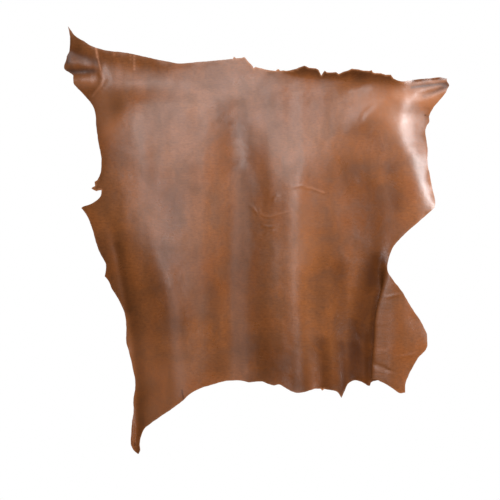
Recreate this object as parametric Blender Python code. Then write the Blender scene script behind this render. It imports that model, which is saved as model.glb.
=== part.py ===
# A whole tanned hide, untrimmed, hung by its two upper corners.
# Metres, +Z up. The grain side faces the front, -Y, and the origin is the middle of the top edge.
from collections import namedtuple
import math

import bpy
import numpy as np
from mathutils import Vector
from mathutils.geometry import delaunay_2d_cdt

# Driving sizes of the hide.
hung_width = 0.90
leather_thickness = 0.0016
belly_forward = 0.022
hem_tuck = 0.014

# How far the hide was from the eye, so that its near folds spread and its far ones draw in.
eye_distance = 3.0

# The outline and folds below are in dots of the picture they were read from, x right and y down.
picture_left = 64.0
picture_right = 449.1
picture_middle = (250.0, 250.0)
picture_origin = (257.0, 67.0)
dot = hung_width / (picture_right - picture_left)

# Mesh sizes, in dots.
grid_step = 8.4
corner_step = 3.2

# The cut edge, clockwise from the tip of the upper left corner.
# A soft stretch runs in a curve through its points, and a ragged one is torn straight from point to point.
Stretch = namedtuple("Stretch", "name line step points")
cut_edge = [
    Stretch("neck edge", "soft", 8.0, [
        (68.2, 26.5), (70.3, 29.5), (75.3, 36.0), (84.4, 41.6), (93.4, 46.7), (107.4, 50.5), (126.5, 52.7),
        (147.0, 57.2), (170.0, 62.0), (178.8, 63.3), (190.3, 62.7), (216.0, 60.4), (233.0, 58.9)]),
    Stretch("torn top edge", "ragged", 8.0, [
        (233.0, 58.9), (234.0, 56.8), (236.0, 58.4), (241.5, 58.0), (244.4, 56.9), (247.6, 60.5),
        (252.7, 66.4), (253.5, 68.2), (255.7, 67.0), (268.0, 70.1), (275.5, 70.7), (278.1, 69.3),
        (279.9, 70.7), (290.0, 70.5), (296.0, 68.9), (304.4, 65.5), (307.7, 67.4), (315.8, 68.5),
        (318.7, 70.1), (321.2, 75.8), (324.6, 70.8), (326.8, 72.3), (336.4, 72.3), (338.8, 74.0),
        (342.2, 72.6), (352.0, 68.6), (369.4, 71.1), (371.8, 70.1), (372.6, 72.3), (375.2, 73.0),
        (381.0, 73.0), (385.5, 75.2), (391.0, 74.5), (393.6, 78.4)]),
    Stretch("upper right corner, top", "soft", 6.0, [
        (393.6, 78.4), (397.2, 80.3), (401.6, 81.4), (408.0, 80.7), (418.2, 79.2), (429.8, 78.4),
        (439.6, 77.2), (446.8, 78.6)]),
    Stretch("upper right corner, end", "soft", 4.0, [
        (446.8, 78.6), (446.7, 80.9), (449.1, 85.1), (447.4, 88.6), (445.6, 92.6)]),
    Stretch("upper right corner, under", "soft", 6.0, [
        (445.6, 92.6), (440.5, 99.1), (436.0, 104.2), (431.6, 110.6), (428.7, 116.6)]),
    Stretch("right flank", "soft", 8.0, [
        (428.7, 116.6), (429.2, 121.8), (426.8, 125.6), (425.2, 131.4), (426.1, 139.1), (427.4, 149.3),
        (427.4, 160.8), (431.2, 183.7), (435.0, 201.0), (434.8, 207.7)]),
    Stretch("right bay", "soft", 8.0, [
        (434.8, 207.7), (423.8, 217.2), (409.4, 229.9), (398.0, 240.8), (392.8, 247.6), (388.5, 259.7),
        (387.9, 269.5), (393.3, 280.0), (402.8, 292.6), (412.0, 308.3), (420.4, 320.6), (426.9, 333.9)]),
    Stretch("right lobe", "soft", 8.0, [
        (426.9, 333.9), (427.1, 340.0), (426.7, 348.1), (418.1, 358.0), (412.0, 368.4), (405.5, 382.9),
        (405.1, 392.5)]),
    Stretch("lobe hem", "soft", 7.0, [
        (405.1, 392.5), (399.8, 393.2), (392.1, 387.9), (385.2, 383.7)]),
    Stretch("hem in the overlap", "soft", 2.0, [
        (385.2, 383.7), (383.5, 381.4), (382.3, 379.5), (379.7, 379.3), (373.1, 379.6), (369.5, 381.2),
        (368.3, 386.0)]),
    Stretch("hem arch", "soft", 5.0, [
        (368.3, 386.0), (363.3, 382.7), (355.6, 380.4), (351.8, 381.0), (348.7, 382.9), (346.4, 386.4),
        (344.5, 390.9), (341.5, 397.8)]),
    Stretch("hem, right", "soft", 7.0, [
        (341.5, 397.8), (338.0, 392.9), (335.3, 391.1), (330.7, 390.2), (324.0, 389.0)]),
    Stretch("hem nib", "ragged", 8.0, [
        (324.0, 389.0), (322.2, 390.6), (320.9, 389.0)]),
    Stretch("hem, middle", "soft", 7.0, [
        (320.9, 389.0), (315.3, 388.8), (310.0, 390.4), (304.7, 391.9), (296.3, 393.0), (284.6, 387.5),
        (280.2, 384.9), (277.5, 384.6), (273.9, 385.5), (268.6, 384.0), (262.3, 381.6), (257.9, 381.5),
        (248.9, 382.2), (240.0, 380.4), (225.3, 381.1), (211.9, 384.8), (200.4, 388.3), (189.4, 394.5),
        (183.8, 400.1)]),
    Stretch("leg, inner edge", "soft", 7.0, [
        (183.8, 400.1), (169.8, 410.3), (151.7, 422.8), (144.5, 428.5), (141.5, 434.8), (139.6, 442.4),
        (139.9, 451.0), (138.4, 454.0)]),
    Stretch("leg end", "soft", 4.0, [
        (138.4, 454.0), (134.0, 450.7), (131.1, 444.9), (130.8, 439.9), (131.1, 435.7)]),
    Stretch("left flank, lower", "soft", 7.0, [
        (131.1, 435.7), (132.0, 422.3), (133.5, 412.0), (133.4, 400.3), (135.4, 384.5), (132.5, 366.8),
        (128.3, 349.5), (126.5, 343.1), (126.2, 326.5), (124.4, 312.5), (118.1, 298.5), (112.0, 288.9),
        (109.1, 281.9), (104.7, 276.1)]),
    Stretch("left nib", "soft", 8.0, [
        (104.7, 276.1), (105.9, 271.0), (105.9, 263.7)]),
    Stretch("left flank, middle", "soft", 8.0, [
        (105.9, 263.7), (98.9, 250.0), (95.4, 239.7), (92.2, 227.9), (88.4, 218.0), (83.6, 210.7),
        (81.4, 208.2)]),
    Stretch("left spur", "soft", 5.0, [
        (81.4, 208.2), (82.3, 206.9), (90.0, 204.3), (97.6, 199.5), (100.6, 196.0), (101.5, 190.2)]),
    Stretch("left tag", "ragged", 8.0, [
        (101.5, 190.2), (96.4, 191.1), (91.3, 188.7), (92.2, 187.1), (94.8, 185.8), (94.4, 181.7),
        (97.6, 179.8)]),
    Stretch("left flank, upper", "soft", 8.0, [
        (97.6, 179.8), (100.8, 172.1), (101.5, 160.0), (98.5, 141.4), (96.2, 126.0), (95.7, 115.9),
        (93.4, 106.9), (87.5, 98.7), (77.3, 87.8), (73.6, 83.5), (73.1, 78.0)]),
    Stretch("upper left corner, bulge", "soft", 4.0, [
        (73.1, 78.0), (73.3, 75.5), (69.7, 72.7), (64.6, 69.4), (64.0, 66.3), (66.3, 59.7), (66.6, 56.7)]),
    Stretch("upper left corner, side", "soft", 5.0, [
        (66.6, 56.7), (69.0, 52.0), (69.9, 44.4), (70.2, 40.3), (69.1, 31.1), (68.2, 26.5)]),
]

# Upright folds, row by row from the top: height in the picture, place across, rise forward in metres
# (troughs are below zero), and reach to the left and to the right.
Pipe = namedtuple("Pipe", "name rows")
pipes = [
    Pipe("left swell", [
        (80, 132, 0.002, 44, 75), (105, 128, 0.012, 50, 75), (140, 126, 0.019, 62, 78),
        (180, 124, 0.021, 60, 84), (205, 126, 0.022, 58, 84), (235, 136, 0.023, 58, 78),
        (265, 150, 0.023, 60, 70), (300, 164, 0.023, 60, 62), (345, 170, 0.024, 58, 58),
        (390, 175, 0.025, 56, 56)]),
    Pipe("left crest", [
        (96, 138, 0.0, 12, 11), (112, 138, 0.0010, 12, 11), (145, 138, 0.0010, 13, 11),
        (175, 138, 0.0006, 14, 12), (205, 137, 0.0004, 14, 12), (235, 146, 0.0010, 13, 12),
        (265, 160, 0.0022, 15, 12), (300, 172, 0.0034, 16, 12), (345, 174, 0.0038, 16, 12),
        (390, 180, 0.0036, 13, 12)]),
    Pipe("left shoulder", [
        (78, 118, 0.0, 30, 40), (112, 118, 0.006, 30, 42), (150, 114, 0.007, 30, 44),
        (190, 112, 0.005, 30, 44), (225, 118, 0.002, 30, 40), (255, 125, 0.0, 30, 40)]),
    Pipe("second pipe", [
        (130, 196, 0.0, 10, 10), (160, 198, 0.001, 9, 10), (230, 201, 0.0015, 9, 10),
        (270, 202, 0.001, 9, 10), (305, 203, 0.0, 9, 10)]),
    Pipe("middle trough", [
        (95, 230, 0.0, 22, 24), (118, 234, -0.005, 22, 23), (142, 239, -0.009, 22, 23),
        (165, 242, -0.011, 23, 24), (195, 244, -0.009, 24, 25), (225, 242, -0.007, 22, 26),
        (250, 240, -0.006, 20, 25), (300, 238, -0.007, 20, 26), (345, 240, -0.008, 20, 26),
        (390, 238, -0.008, 22, 26)]),
    Pipe("trough's sharp bottom", [
        (130, 239, 0.0, 9, 9), (170, 243, -0.0006, 9, 9), (205, 245, -0.0009, 9, 8),
        (250, 240, -0.0007, 8, 9), (300, 236, -0.0010, 8, 8), (345, 239, -0.0008, 9, 8),
        (390, 236, -0.0010, 8, 8)]),
    Pipe("ridge in the trough", [
        (160, 248, 0.0, 6, 6), (185, 250, 0.0007, 6, 6), (210, 252, 0.0004, 6, 6), (225, 252, 0.0, 6, 6)]),
    Pipe("low ridge", [
        (255, 236, 0.0, 5, 5), (285, 234, 0.0007, 5, 5), (330, 238, 0.0008, 5, 5),
        (375, 240, 0.0006, 5, 5)]),
    Pipe("keel", [
        (100, 326, 0.0, 60, 60), (130, 320, 0.005, 52, 58), (155, 313, 0.011, 50, 62),
        (178, 303, 0.015, 44, 68), (202, 299, 0.018, 42, 70), (250, 299, 0.020, 42, 66),
        (300, 300, 0.023, 44, 52), (345, 301, 0.026, 46, 40), (390, 302, 0.028, 48, 38)]),
    Pipe("keel's crest", [
        (145, 309, 0.0, 12, 12), (175, 300, 0.0016, 12, 11), (212, 298, 0.0020, 13, 11),
        (250, 300.5, 0.0021, 12, 12), (290, 298.5, 0.0026, 13, 11), (340, 302, 0.0026, 12, 10),
        (390, 304, 0.0024, 12, 10)]),
    Pipe("right hollow", [
        (110, 365, 0.0, 20, 22), (140, 372, -0.003, 24, 18), (180, 376, -0.004, 28, 16),
        (220, 378, -0.005, 28, 16), (262, 377, -0.007, 26, 14), (300, 373, -0.010, 28, 14),
        (345, 370, -0.012, 29, 14), (395, 369, -0.013, 29, 14)]),
    Pipe("dip beside the hem point", [
        (340, 321, 0.0, 6, 6), (375, 321, -0.0025, 6, 6), (398, 321, -0.003, 6, 6)]),
    Pipe("ridge to the hem point", [
        (300, 336, 0.0, 8, 8), (345, 338, 0.0025, 9, 8), (398, 342, 0.005, 9, 8)]),
    Pipe("groove by the left edge", [
        (205, 106, 0.0, 6, 7), (230, 112, -0.002, 6, 7), (252, 118, -0.0045, 6, 7),
        (283, 124, -0.006, 6, 7), (313, 128, -0.0055, 6, 7), (350, 134, -0.005, 5, 6),
        (400, 137, -0.006, 4, 6), (440, 137, -0.006, 4, 5)]),
    Pipe("right lobe crown", [
        (285, 392, 0.0, 14, 16), (335, 402, 0.004, 16, 18), (385, 397, 0.002, 14, 14)]),
]

# Where the sheet turns back towards a side: height, place across, fall in metres a dot once turned,
# and softness.
Turn = namedtuple("Turn", "name side rows")
turns = [
    Turn("left turn", -1.0, [
        (80, 127, 0.0, 7), (95, 124, 0.0004, 6), (108, 118, 0.0010, 6), (118, 111, 0.0010, 6),
        (130, 104, 0.0009, 6), (144, 98, 0.0006, 6), (158, 93, 0.0003, 7), (178, 91, 0.0001, 8),
        (205, 95, 0.0001, 8), (228, 104, 0.0002, 8), (252, 117, 0.0004, 8), (282, 129, 0.0006, 8),
        (312, 137, 0.0006, 8), (350, 143, 0.0006, 7), (400, 146, 0.0005, 7), (450, 146, 0.0004, 7)]),
    Turn("right turn", 1.0, [
        (66, 404, 0.0002, 6), (80, 404, 0.0003, 5), (95, 406, 0.0005, 5), (107, 405, 0.0009, 4.5),
        (117, 402.5, 0.0010, 4.5), (128, 402, 0.0010, 4.5), (140, 404, 0.0010, 4.5),
        (150, 408, 0.0010, 4.5), (160, 413, 0.0010, 4.5), (172, 417, 0.0011, 4.5),
        (185, 421, 0.0011, 4.5), (198, 426, 0.0011, 5), (212, 432, 0.0009, 6), (235, 445, 0.0006, 8)]),
    Turn("right shoulder", 1.0, [
        (70, 380, 0.00015, 8), (98, 378, 0.0002, 9), (125, 379, 0.0002, 9), (140, 386, 0.0001, 9),
        (158, 392, 0.0, 9)]),
]

# Short folds along a path: rise in metres, reach in dots, and the shares left at both ends.
Fold = namedtuple("Fold", "name rise reach starts ends path")
short_folds = [
    Fold("crest to the right corner", 0.003, 11.0, 0.4, 0.2, [
        (428, 95), (403, 100), (380, 108), (362, 119), (345, 132)]),
    Fold("top left edge nodding forward", 0.011, 12.0, 0.9, 0.2, [
        (86, 41), (107, 48), (128, 50), (148, 54), (170, 58), (192, 59)]),
    Fold("torn edge nodding forward", 0.026, 11.0, 0.1, 0.5, [(266, 60), (305, 61), (352, 64), (398, 71)]),
    Fold("wedge below the torn edge", -0.003, 6.0, 0.2, 0.2, [(372, 84), (356, 89), (338, 93)]),
    Fold("left corner crease", -0.0006, 2.2, 1.0, 0.6, [(93.5, 47), (97, 60), (100.5, 71)]),
    Fold("left corner ridge", 0.0034, 5.0, 0.6, 0.4, [(101, 71), (103.5, 79), (100.5, 86), (92.5, 96)]),
    Fold("ridge beside the left grip", 0.0012, 5.5, 0.8, 0.2, [(70, 37), (74, 43), (84, 47), (94, 51)]),
    Fold("left corner upper valley", -0.0016, 5.5, 1.0, 0.3, [(69, 49), (80, 55.5), (96, 62)]),
    Fold("left corner bulge", 0.0020, 5.4, 1.0, 0.2, [(66, 64), (77, 63.5), (92, 65.5)]),
    Fold("left corner pinch", -0.0042, 5.0, 1.0, 0.3, [(65, 72), (80, 72), (95, 71)]),
    Fold("left corner lower pleat", 0.0022, 6.0, 0.5, 0.4, [(74, 81), (86, 80), (98, 80)]),
    Fold("right corner rolled back", -0.0014, 3.2, 0.2, 0.8, [(408, 79.5), (428, 77), (445, 76)]),
    Fold("right corner upper pleat", 0.0011, 3.2, 0.2, 0.8, [(402, 85), (425, 82.5), (446, 80.5)]),
    Fold("right corner upper valley", -0.0008, 3.0, 0.2, 1.0, [(408, 87.8), (425, 85.8), (446, 83.4)]),
    Fold("right corner lower pleat", 0.0011, 3.2, 0.2, 0.8, [(411, 92), (428, 88.6), (442, 85.6)]),
    Fold("right corner lower valley", -0.0013, 3.6, 0.2, 1.0, [(421, 97), (434, 92.6), (447, 87)]),
]

# The dense places of the mesh: the two corners that are held, as a middle and a reach.
corners = [((84, 64), 38.0), ((425, 90), 30.0)]

# Below the right bay the sheet doubles over itself: the lobe lies in front, and its fold runs down this
# line.
overlap_line = [
    (384, 262), (382.4, 286), (380.6, 306), (379.8, 322), (379.2, 340), (377.8, 355), (376.4, 378),
    (376.4, 400)]
overlap_reach = 9.0
overlap_pull = 3.5
overlap_depth = 0.008
overlap_top = 262.0
overlap_full = 325.0
overlap_lift_top = 236.0
overlap_lift_full = 296.0
overlap_fade_left = 18.0
overlap_fade_right = 30.0


def smooth(share):
    # A soft ramp from 0 to 1.
    share = np.clip(share, 0.0, 1.0)
    return share * share * (3.0 - 2.0 * share)


def curve_through(points, step):
    # Evenly spaced points on a centripetal Catmull-Rom curve, without its last point.
    knots = [np.array(point, dtype=float) for point in points]
    knots = [2.0 * knots[0] - knots[1]] + knots + [2.0 * knots[-1] - knots[-2]]
    run = []
    for a, b, c, d in zip(knots, knots[1:], knots[2:], knots[3:]):
        t1 = math.sqrt(np.linalg.norm(b - a))
        t2 = t1 + math.sqrt(np.linalg.norm(c - b))
        t3 = t2 + math.sqrt(np.linalg.norm(d - c))
        for t in np.linspace(t1, t2, 12, endpoint=False):
            ab = (a * (t1 - t) + b * t) / t1
            bc = (b * (t2 - t) + c * (t - t1)) / (t2 - t1)
            cd = (c * (t3 - t) + d * (t - t2)) / (t3 - t2)
            abc = (ab * (t2 - t) + bc * t) / t2
            bcd = (bc * (t3 - t) + cd * (t - t1)) / (t3 - t1)
            run.append((abc * (t2 - t) + bcd * (t - t1)) / (t2 - t1))
    run.append(knots[-2])
    run = np.array(run)
    lengths = np.concatenate([[0.0], np.cumsum(np.linalg.norm(np.diff(run, axis=0), axis=1))])
    pieces = max(1, round(lengths[-1] / step))
    wanted = np.linspace(0.0, lengths[-1], pieces + 1)[:-1]
    return np.column_stack([np.interp(wanted, lengths, run[:, 0]), np.interp(wanted, lengths, run[:, 1])])


def torn_through(points, step):
    # The points themselves, with long straights divided, without the last point.
    run = []
    for a, b in zip(points, points[1:]):
        pieces = max(1, round(math.dist(a, b) / step))
        for piece in range(pieces):
            share = piece / pieces
            run.append((a[0] + (b[0] - a[0]) * share, a[1] + (b[1] - a[1]) * share))
    return np.array(run)


def outline():
    runs = []
    for stretch in cut_edge:
        draw = curve_through if stretch.line == "soft" else torn_through
        runs.append(draw(stretch.points, stretch.step))
    return np.vstack(runs)


def to_path(points, path):
    # Each point's distance to a path, and how far along the path its nearest spot lies, from 0 to 1.
    path = np.array(path, dtype=float)
    lengths = np.linalg.norm(np.diff(path, axis=0), axis=1)
    starts = np.concatenate([[0.0], np.cumsum(lengths)])
    nearest = np.full(len(points), 1e9)
    along = np.zeros(len(points))
    for a, b, length, start in zip(path, path[1:], lengths, starts):
        share = np.clip(((points - a) @ (b - a)) / length ** 2, 0.0, 1.0)
        distance = np.linalg.norm(points - (a + share[:, None] * (b - a)), axis=1)
        closer = distance < nearest
        nearest[closer] = distance[closer]
        along[closer] = (start + share * length)[closer]
    return nearest, along / starts[-1]


def is_inside(points, loop):
    inside = np.zeros(len(points), dtype=bool)
    for a, b in zip(loop, np.roll(loop, -1, axis=0)):
        crosses = (a[1] > points[:, 1]) != (b[1] > points[:, 1])
        rise = b[1] - a[1]
        if rise == 0.0:
            continue
        reach = a[0] + (points[:, 1] - a[1]) * (b[0] - a[0]) / rise
        inside ^= crosses & (points[:, 0] < reach)
    return inside


def staggered_grid(loop, step):
    low = loop.min(axis=0)
    high = loop.max(axis=0)
    points = []
    for row, y in enumerate(np.arange(low[1], high[1], step * 0.866)):
        shift = 0.5 * step * (row % 2)
        for x in np.arange(low[0] + shift, high[0], step):
            points.append((x, y))
    return np.array(points)


def in_corner(points):
    near = np.zeros(len(points), dtype=bool)
    for middle, reach in corners:
        near |= np.linalg.norm(points - middle, axis=1) < reach
    return near


def overlap_offset(points):
    # How far right of the overlap's line each point lies, as a share of the overlap's reach.
    line = np.array(overlap_line)
    return (points[:, 0] - np.interp(points[:, 1], line[:, 1], line[:, 0])) / overlap_reach


def inner_points(loop):
    coarse = staggered_grid(loop, grid_step)
    coarse = coarse[~in_corner(coarse)]
    in_overlap = (np.abs(overlap_offset(coarse)) < 1.4) & (coarse[:, 1] > overlap_top)
    coarse = coarse[~in_overlap]
    fine = staggered_grid(loop, corner_step)
    fine = fine[in_corner(fine)]
    overlap = []
    for row, y in enumerate(np.arange(overlap_top + 4.0, 380.0, 6.0)):
        line = np.array(overlap_line)
        middle = np.interp(y, line[:, 1], line[:, 0])
        for share in np.linspace(-1.2, 1.2, 12):
            overlap.append((middle + (share + 0.1 * (row % 2)) * overlap_reach, y))
    overlap = np.array(overlap)
    kept = []
    for points, gap in ((coarse, 0.6 * grid_step), (fine, 0.6 * corner_step), (overlap, 1.6)):
        points = points[is_inside(points, loop)]
        distance, _ = to_path(points, np.vstack([loop, loop[:1]]))
        kept.append(points[distance > gap])
    return np.vstack(kept)


def through(rows, column, wanted):
    # A smooth run through one column of rows ordered by height, level beyond both ends.
    heights = np.array([row[0] for row in rows], dtype=float)
    values = np.array([row[column] for row in rows], dtype=float)
    slopes = np.gradient(values, heights)
    slopes[0] = 0.0
    slopes[-1] = 0.0
    index = np.clip(np.searchsorted(heights, wanted) - 1, 0, len(rows) - 2)
    gap = heights[index + 1] - heights[index]
    t = np.clip((wanted - heights[index]) / gap, 0.0, 1.0)
    from_here = (1.0 + 2.0 * t) * (1.0 - t) ** 2 * values[index] + t * (1.0 - t) ** 2 * gap * slopes[index]
    from_next = t * t * (3.0 - 2.0 * t) * values[index + 1] - t * t * (1.0 - t) * gap * slopes[index + 1]
    return from_here + from_next


def sum_of_pipes(points):
    total = np.zeros(len(points))
    for pipe in pipes:
        place = through(pipe.rows, 1, points[:, 1])
        rise = through(pipe.rows, 2, points[:, 1])
        left = through(pipe.rows, 3, points[:, 1])
        right = through(pipe.rows, 4, points[:, 1])
        offset = points[:, 0] - place
        total += rise * np.exp(-(offset / np.where(offset < 0.0, left, right)) ** 2)
    return total


def sum_of_turns(points):
    total = np.zeros(len(points))
    for turn in turns:
        place = through(turn.rows, 1, points[:, 1])
        fall = through(turn.rows, 2, points[:, 1])
        soft = through(turn.rows, 3, points[:, 1])
        total -= fall * soft * np.logaddexp(0.0, turn.side * (points[:, 0] - place) / soft)
    return total


def forward(points):
    # How far each spot of the sheet stands forward of the hanging plane, in metres.
    across = (points[:, 0] - 255.0) / 190.0
    hang = 0.35 + 0.65 * smooth((points[:, 1] - 60.0) / 130.0)
    rise = belly_forward * hang * (1.0 - across ** 2)
    rise -= hem_tuck * smooth((points[:, 1] - 225.0) / 170.0)
    for fold in short_folds:
        distance, along = to_path(points, fold.path)
        share = np.interp(along, [0.0, 0.3, 0.7, 1.0], [fold.starts, 1.0, 1.0, fold.ends])
        rise += fold.rise * share * np.exp(-(distance / fold.reach) ** 2)
    return rise + sum_of_pipes(points) + sum_of_turns(points)


def fold_over(points):
    # Pulls the sheet over itself along the overlap: the shift to the right in dots, and forward in metres.
    offset = overlap_offset(points)
    grown = smooth((points[:, 1] - overlap_top) / (overlap_full - overlap_top))
    near = np.clip(offset, -1.0, 1.0)
    shift = -overlap_pull * grown * overlap_reach * near * (1.0 - near ** 2) ** 2
    step = near * (15.0 - 10.0 * near ** 2 + 3.0 * near ** 4) / 8.0
    beyond = np.maximum(np.abs(offset) - 1.0, 0.0) * overlap_reach
    fade = np.where(offset < 0.0, overlap_fade_left, overlap_fade_right)
    raised = smooth((points[:, 1] - overlap_lift_top) / (overlap_lift_full - overlap_lift_top))
    return shift, overlap_depth * raised * step * np.exp(-(beyond / fade) ** 2)


def hang(points):
    # Each spot's place in space, on its line of sight and at its depth.
    shift, lift = fold_over(points)
    depth = -(forward(points) + lift)
    spread = (eye_distance + depth) / eye_distance
    eye_x = (picture_middle[0] - picture_origin[0]) * dot
    eye_z = (picture_origin[1] - picture_middle[1]) * dot
    x = eye_x + (points[:, 0] + shift - picture_middle[0]) * dot * spread
    z = eye_z + (picture_middle[1] - points[:, 1]) * dot * spread
    return np.column_stack([x, depth, z])


def dyed_leather():
    material = bpy.data.materials.new("dyed_leather")
    material.use_nodes = True
    shader = material.node_tree.nodes["Principled BSDF"]
    shader.inputs["Base Color"].default_value = (0.27, 0.115, 0.06, 1.0)
    shader.inputs["Roughness"].default_value = 0.42
    shader.inputs["Metallic"].default_value = 0.0
    return material


def make_hide():
    loop = outline()
    spots = np.vstack([loop, inner_points(loop)])
    edges = [(index, (index + 1) % len(loop)) for index in range(len(loop))]
    # The picture's y runs down, so it is turned over here to keep the grain side to the front.
    flat = [Vector((x, -y)) for x, y in spots]
    flat, _, triangles, *_ = delaunay_2d_cdt(flat, edges, [], 1, 1e-5)
    spots = np.array([(point.x, -point.y) for point in flat])
    mesh = bpy.data.meshes.new("hide")
    mesh.from_pydata([tuple(place) for place in hang(spots)], [], triangles)
    mesh.materials.append(dyed_leather())
    hide = bpy.data.objects.new("hide", mesh)
    bpy.context.scene.collection.objects.link(hide)
    leather = hide.modifiers.new("leather", "SOLIDIFY")
    leather.thickness = leather_thickness
    leather.offset = 0.0
    leather.use_even_offset = False
    return hide


for old in list(bpy.data.objects):
    bpy.data.objects.remove(old, do_unlink=True)
make_hide()
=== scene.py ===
# A whole brown hide, hung by its two upper corners: the looks, built on the imported frame.
# Metres, +Z up, grain side to the front (-Y). Outline, folds, stains and painted light are read in picture
# dots.
import math
from collections import namedtuple

import bpy
import numpy as np
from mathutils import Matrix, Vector
from mathutils.geometry import delaunay_2d_cdt


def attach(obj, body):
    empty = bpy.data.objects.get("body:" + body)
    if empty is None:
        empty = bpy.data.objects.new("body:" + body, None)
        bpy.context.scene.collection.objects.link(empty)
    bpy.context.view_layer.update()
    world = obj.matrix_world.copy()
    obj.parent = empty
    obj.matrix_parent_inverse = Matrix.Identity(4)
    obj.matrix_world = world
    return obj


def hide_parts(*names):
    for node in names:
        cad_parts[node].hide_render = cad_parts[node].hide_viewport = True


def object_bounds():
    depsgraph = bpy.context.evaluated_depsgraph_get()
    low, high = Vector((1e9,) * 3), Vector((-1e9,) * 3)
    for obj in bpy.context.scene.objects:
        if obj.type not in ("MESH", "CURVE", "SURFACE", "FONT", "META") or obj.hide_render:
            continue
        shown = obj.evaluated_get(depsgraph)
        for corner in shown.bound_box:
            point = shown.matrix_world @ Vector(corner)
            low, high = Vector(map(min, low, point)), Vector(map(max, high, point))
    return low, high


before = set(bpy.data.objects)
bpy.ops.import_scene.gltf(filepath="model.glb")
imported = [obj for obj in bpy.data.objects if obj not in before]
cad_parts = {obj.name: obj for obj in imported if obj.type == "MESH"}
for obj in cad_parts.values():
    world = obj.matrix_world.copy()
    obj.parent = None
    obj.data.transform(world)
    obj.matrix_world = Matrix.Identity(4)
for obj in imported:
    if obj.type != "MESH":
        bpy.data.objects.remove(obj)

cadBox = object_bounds()
scene = bpy.context.scene
print("stage 1: frame loaded, box", [round(v, 3) for corner in cadBox for v in corner])


# The hide's size, mesh and outline.
hideShape = {
    "hungWidth": 0.90,            # left corner bulge to right corner end
    "thickness": 0.0016,
    "edgeThickness": 0.7,         # share of the thickness left at the cut edge
    "bellyForward": 0.022,        # how far the middle hangs forward of the edges
    "bellyAtTop": 0.35,           # share of that at the top edge
    "hemTuck": 0.014,             # how far the hem hangs back of the belly
    "eyeDistance": 3.0,           # near folds spread and far ones draw in from this far off
    "sharpAngle": 50.0,           # degrees; sharper bends, as at the rim, keep a hard edge
    "edgeWave": 0.0011,           # metres that the cut edge curls to and fro
    "unevenness": 0.0002,         # metres of soft lumps all over
    "tornExtra": 0.8,             # how much more ragged the torn stretches are, as a share
    "pictureWidth": 500.0,        # dots, as are all that follow
    "pictureLeft": 64.0,
    "pictureRight": 449.1,
    "pictureMiddle": (250.0, 250.0),
    "pictureOrigin": (257.0, 67.0),
    "bellyMiddle": 255.0,
    "bellyReach": 190.0,          # from its middle to where it ends on both sides
    "bellyHeights": (60.0, 190.0),
    "tuckHeights": (225.0, 395.0),
    "gridStep": 1.9,
    "fineStep": 1.05,
    "edgeStep": 1.25,
    "edgeRagged": 0.16,           # small unevenness of the knife cut
    "edgeCurlReach": 3.0,
    "edgeThinReach": 2.5,
}
dot = hideShape["hungWidth"] / (hideShape["pictureRight"] - hideShape["pictureLeft"])

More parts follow.
